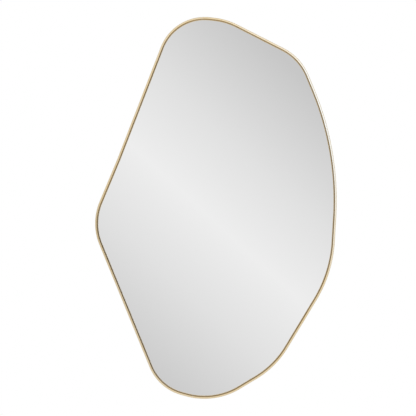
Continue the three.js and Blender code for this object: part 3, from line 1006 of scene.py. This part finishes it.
RING_WIRE = 3.2 * MM
RING_BAR = 16.8 * MM
RING_CORNER = 3 * MM
RING_BOW = 11 * MM  # radius of the wire's middle, as for the corners
RING_REACH = 22 * MM  # from the bar's middle down to the bow's
RING_BUTT_GAP = 0.5 * MM
RING_REST_TILT = math.radians(4)
RING_SIDES = 20
RING_STEP = 0.7 * MM  # along the wire
STRAP_SHEET = 1.2 * MM
STRAP_WIDTH = 14 * MM
STRAP_LENGTH = 48 * MM
STRAP_FOLD_GAP = 0.2 * MM
STRAP_EYE = RING_WIRE / 2 + 0.3 * MM  # inner radius
STRAP_SCREWS = (29 * MM, 41 * MM)
STRAP_HOLE = 2.3 * MM
STRAP_NECK = 1.3 * MM  # from the eye down to where the strap's rear leg runs straight
STRAP_BEND = 1.2 * MM
STRAP_RIM = 0.18 * MM


def ring_mesh(name, centre):
    """The wire ring, bent to a D with its ends butted in the middle of the bar."""
    outline = Outline({
        "right_corner": Lobe(RING_BAR / 2, -RING_CORNER, RING_CORNER),
        "bow": Lobe(0, RING_BOW - RING_REACH, RING_BOW),
        "left_corner": Lobe(-RING_BAR / 2, -RING_CORNER, RING_CORNER),
    })
    start = (RING_BUTT_GAP - RING_BAR) / 2
    stops = outline.stops(start, start + outline.length - RING_BUTT_GAP, RING_STEP)
    angles = [math.tau * i / RING_SIDES for i in range(RING_SIDES)]
    section = [Vector((math.cos(a), math.sin(a))) * (RING_WIRE / 2) for a in angles]
    mesh = sweep(name, outline, stops, section)
    turn = Matrix.Rotation(RING_REST_TILT, 4, "X")
    mesh.transform(Matrix.Translation(centre) @ turn)
    return finish_mesh(mesh)


def strap_line():
    """The middle of the strap's sheet, as (u towards the wall, v up) from the eye's centre."""
    middle = STRAP_EYE + STRAP_SHEET / 2
    rear = -middle + STRAP_SHEET + STRAP_FOLD_GAP
    eye = [Vector(point) for point in arc(0, 0, middle, 180, -50, 22)]
    down = fold_line([
        (*eye[-1], 0), (rear, -middle - STRAP_NECK, STRAP_BEND), (rear, -STRAP_LENGTH, 0),
    ])
    return [Vector((-middle, -STRAP_LENGTH)), *eye, *down[1:]]


def strap_mesh(name, centre):
    """A strip folded round the ring's bar, with round ends and two holes through both legs."""
    line = strap_line()
    length = distances(line)[-1]
    half = STRAP_WIDTH / 2
    outline = arc(length - half, 0, half, -90, 90, 16) + arc(half, 0, half, 90, 270, 16)
    spots = [STRAP_LENGTH - below for below in STRAP_SCREWS]
    spots += [length - spot for spot in spots]
    holes = [arc(spot, 0, STRAP_HOLE, 0, 345, 23) for spot in spots]
    blank = sheet_blank(name, outline, holes, STRAP_SHEET, STRAP_RIM)

    def to_space(u, v, across):
        return centre + Vector((across, u, v))

    return finish_mesh(fold(blank, line, to_space))


def make_hangers(zinc, ring_zinc):
    for joint in frame["joints"]:
        side = joint["child"].removeprefix("ring_")
        centre = Vector(joint["pos_m"])
        strap = strap_mesh(f"folded_strap_{side}", centre)
        add_piece(strap.name, strap, "mirror", "zinc", zinc, stands_for=[f"hanger_strap_{side}"])
        ring = ring_mesh(f"wire_ring_{side}", centre)
        add_piece(ring.name, ring, joint["child"], "zinc", ring_zinc, stands_for=[f"d_ring_{side}"])


# ---- Bumpers and splice plates --------------------------------------------------------------

# The feet's flange, in mm in from the widest radius and up from the board, and their dished face,
# in mm in from the tip's radius and down from the tip
FOOT_FLANGE = ((0.3, 0), (0, 0.3), (0, 0.8), (0.3, 1.15), (0.9, 1.4))
FOOT_DISH = ((2.2, 0), (2.6, 0.35), (3.4, 0.5))
FOOT_TAPER = 2 * MM
FOOT_ROUND = 1.2 * MM
FOOT_SIDES = 40


def make_bumpers(rubber):
    """Moulded rubber feet with a flanged base, a tapered wall and a dished face."""
    for name in packed("bumper"):
        low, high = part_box(name)
        base, height = (high.x - low.x) / 2, high.y - low.y
        top = base - FOOT_TAPER
        profile = [(0, 0), *((base - inward * MM, up * MM) for inward, up in FOOT_FLANGE)]
        profile += arc(top - FOOT_ROUND, height - FOOT_ROUND, FOOT_ROUND, 12, 90, 7)
        profile += [(top - inward * MM, height - down * MM) for inward, down in FOOT_DISH]
        profile.append((0, profile[-1][1]))
        mesh = lathe(name.replace("bumper", "rubber_foot"), profile, FOOT_SIDES)
        centre = ((low.x + high.x) / 2, low.y, (low.z + high.z) / 2)
        mesh.transform(Matrix.Translation(centre))
        finish_mesh(mesh)
        add_piece(mesh.name, mesh, "mirror", "bumper_rubber", rubber, stands_for=[name])


def finish_splice_plates(zinc):
    """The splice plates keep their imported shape."""
    for end in ("top", "bottom"):
        plate = frame["nodes"][f"splice_plate_{end}"]
        repaint(plate, zinc)


# ---- Studio ---------------------------------------------------------------------------------

FLOOR_DROP = 0.42  # from the mirror's lowest point down to the floor
FLOOR_RADIUS = 1.5
FLOOR_COLOUR = colour(0.86, 0.86, 0.86)
# The band of light that the glass shows from the front, as tangents of the angle off the axis
BAND_AXIS = (0.675, 0.738)  # across the band, in x and z
BAND_MIDDLE = -0.0049
BAND_REACH = 0.145
BAND_LEVELS = ((0.0, 0.915), (0.42, 0.806), (1.0, 0.611))
BAND_ZONE = (0.962, 0.981)  # cosines of the angles off the axis between which it fades in
# Levels of the studio from straight behind the mirror (0) to straight in front of it (1), by half
# of one plus the cosine of the angle off the front axis
STUDIO_LEVELS = (
    (0.0, 0.92), (0.45, 0.78), (0.54, 1.0), (0.71, 1.0), (0.78, 0.70), (0.87, 0.86), (0.91, 1.12),
    (0.975, 1.20),
)
# Where in those levels the studio's far ring and its front lie. Each has gains of its own, as
# (turn, level, warmth) stops round the axis, from the left (0) by way of below, the right and above
# back to the left (1).
FAR_RING = ((0.46, 0.0), (0.54, 1.0), (0.71, 1.0), (0.77, 0.0))
FRONT = ((0.86, 0.0), (0.90, 1.0))
RING_GAINS = (
    (0.0, 0.37, -0.3), (0.11, 0.52, -0.2), (0.25, 0.60, 0.5), (0.40, 0.48, 0.5), (0.5, 0.14, 0.3),
    (0.57, 0.10, 0.0), (0.68, 0.34, 0.2), (0.80, 0.31, 0.6), (0.93, 0.34, 0.7), (1.0, 0.37, -0.3),
)
FRONT_GAINS = (
    (0.0, 0.34, 1.1), (0.06, 0.60, 0.3), (0.14, 0.86, 0.0), (0.3, 0.80, 0.3), (0.42, 0.76, 0.4),
    (0.47, 0.92, 0.0), (0.53, 1.28, -1.6), (0.62, 1.48, -1.4), (0.68, 1.12, 0.0), (0.76, 0.90, 0.2),
    (0.94, 0.80, 0.2), (1.0, 0.34, 1.1),
)
WARM_LIGHT = (0.12, -0.02, -0.36)  # what a warmth of 1 adds to each part of white
LAMPS = {  # place, width, power
    "key_lamp": ((-1.9, -2.3, 1.9), 1.6, 20),
    "fill_lamp": ((2.3, -1.8, 0.9), 1.8, 12),
    "rear_lamp": ((0.9, 2.4, 1.6), 1.8, 20),
}


def levels_ramp(tree, value, levels):
    """A ramp through (position, level) or (position, level, warmth) stops."""
    ramp = node(tree, "ShaderNodeValToRGB", {"Fac": value})
    stops = ramp.color_ramp.elements
    while len(stops) < len(levels):
        stops.new(1.0)
    for stop, (position, level, *warmth) in zip(stops, levels):
        stop.position = position
        stop.color = colour(*(level * (1 + sum(warmth) * part) for part in WARM_LIGHT))
    return ramp.outputs[0]


def make_world():
    """White behind the object, which stands in a pale studio with a soft diagonal band of light."""
    world = bpy.data.worlds.new("studio")
    bpy.context.scene.world = world
    world.use_nodes = True
    tree = world.node_tree
    tree.nodes.clear()
    direction = node(tree, "ShaderNodeTexCoord").outputs["Generated"]
    x, y, z = node(tree, "ShaderNodeSeparateXYZ", {0: direction}).outputs
    ahead = maths(tree, "MULTIPLY", y, -1.0)
    across = weighted_sum(tree, (x, BAND_AXIS[0]), (z, BAND_AXIS[1]))
    slope = maths(tree, "DIVIDE", across, maths(tree, "MAXIMUM", ahead, 0.05))
    off = maths(tree, "ABSOLUTE", maths(tree, "SUBTRACT", slope, BAND_MIDDLE))
    band = levels_ramp(tree, maths(tree, "DIVIDE", off, BAND_REACH), BAND_LEVELS)
    forward = spread(tree, ahead, -1.0, 1.0)
    room = levels_ramp(tree, forward, STUDIO_LEVELS)
    turn = spread(tree, maths(tree, "ARCTAN2", z, x), -math.pi, math.pi)
    gain = colour(1.0, 1.0, 1.0)
    for zone, gains in ((FAR_RING, RING_GAINS), (FRONT, FRONT_GAINS)):
        within = levels_ramp(tree, forward, zone)
        gain = blend_colours(tree, within, gain, levels_ramp(tree, turn, gains))
    room = blend_colours(tree, 1.0, room, gain, "MULTIPLY")
    studio = blend_colours(tree, spread(tree, ahead, *BAND_ZONE), room, band)
    rays = node(tree, "ShaderNodeLightPath").outputs
    white = maths(tree, "MAXIMUM", rays["Is Camera Ray"], rays["Is Transmission Ray"])
    seen = blend_colours(tree, white, studio, colour(1.0, 1.0, 1.0))
    background = node(tree, "ShaderNodeBackground", {"Color": seen, "Strength": 1.0})
    node(tree, "ShaderNodeOutputWorld", {"Surface": background.outputs[0]})


def make_lamps():
    for name, (place, width, power) in LAMPS.items():
        lamp = bpy.data.lights.new(name, "AREA")
        lamp.shape = "DISK"
        lamp.size = width
        lamp.energy = power
        holder = bpy.data.objects.new(name, lamp)
        holder.location = place
        aim = PICTURE_CENTRE - Vector(place)
        holder.rotation_euler = aim.to_track_quat("-Z", "Y").to_euler()
        holder.visible_glossy = False
        bpy.context.scene.collection.objects.link(holder)


def make_floor():
    """A plain pale floor well below the mirror, fading to white at its rim."""
    material, tree, shader = new_material("pale_floor", roughness=0.8, specular_ior_level=0.1)
    shader.inputs["Base Color"].default_value = FLOOR_COLOUR
    place = object_place(tree)
    away = node(tree, "ShaderNodeVectorMath", {0: place}, operation="LENGTH").outputs["Value"]
    rim = spread(tree, away, 0.5 * FLOOR_RADIUS, 0.97 * FLOOR_RADIUS)
    seen = maths(tree, "MULTIPLY", rim, node(tree, "ShaderNodeLightPath").outputs["Is Camera Ray"])
    white = node(tree, "ShaderNodeEmission", {"Color": colour(1.0, 1.0, 1.0), "Strength": 1.0})
    mixer = node(tree, "ShaderNodeMixShader", {0: seen, 1: shader.outputs[0], 2: white.outputs[0]})
    output = next(n for n in tree.nodes if n.type == "OUTPUT_MATERIAL")
    tree.links.new(mixer.outputs[0], output.inputs[0])
    mesh = bpy.data.meshes.new("floor")
    bm = bmesh.new()
    bmesh.ops.create_circle(bm, cap_ends=True, segments=96, radius=FLOOR_RADIUS)
    bm.to_mesh(mesh)
    bm.free()
    mesh.materials.append(material)
    floor = bpy.data.objects.new("floor", mesh)
    floor.location = (PICTURE_CENTRE.x, 0, packed_box[0].z - FLOOR_DROP)
    floor.visible_glossy = False
    bpy.context.scene.collection.objects.link(floor)


# ---- Assembly -------------------------------------------------------------------------------

make_camera()
bpy.context.scene.view_settings.view_transform = "Standard"

make_frame_halves(make_frame_gold())
make_pane(make_silvered_face(), make_glass_edge(), make_backing_paint())
finish_board(make_board_paint(), make_raw_edge())
make_tape(make_foam_tape())

plate_zinc = make_zinc("bright_zinc", PLATE_ZINC, 0.30)
ring_zinc = make_zinc("polished_zinc_wire", WIRE_ZINC, 0.2)
dark_steel = make_dark_steel()
finish_splice_plates(plate_zinc)
make_clips(plate_zinc)
make_hangers(plate_zinc, ring_zinc)
make_screws("splice_screw", plate_zinc, "zinc")
make_screws("clip_screw", dark_steel, "dark_steel")
make_screws("strap_screw", dark_steel, "dark_steel")
make_bumpers(make_rubber())

make_world()
make_lamps()
make_floor()
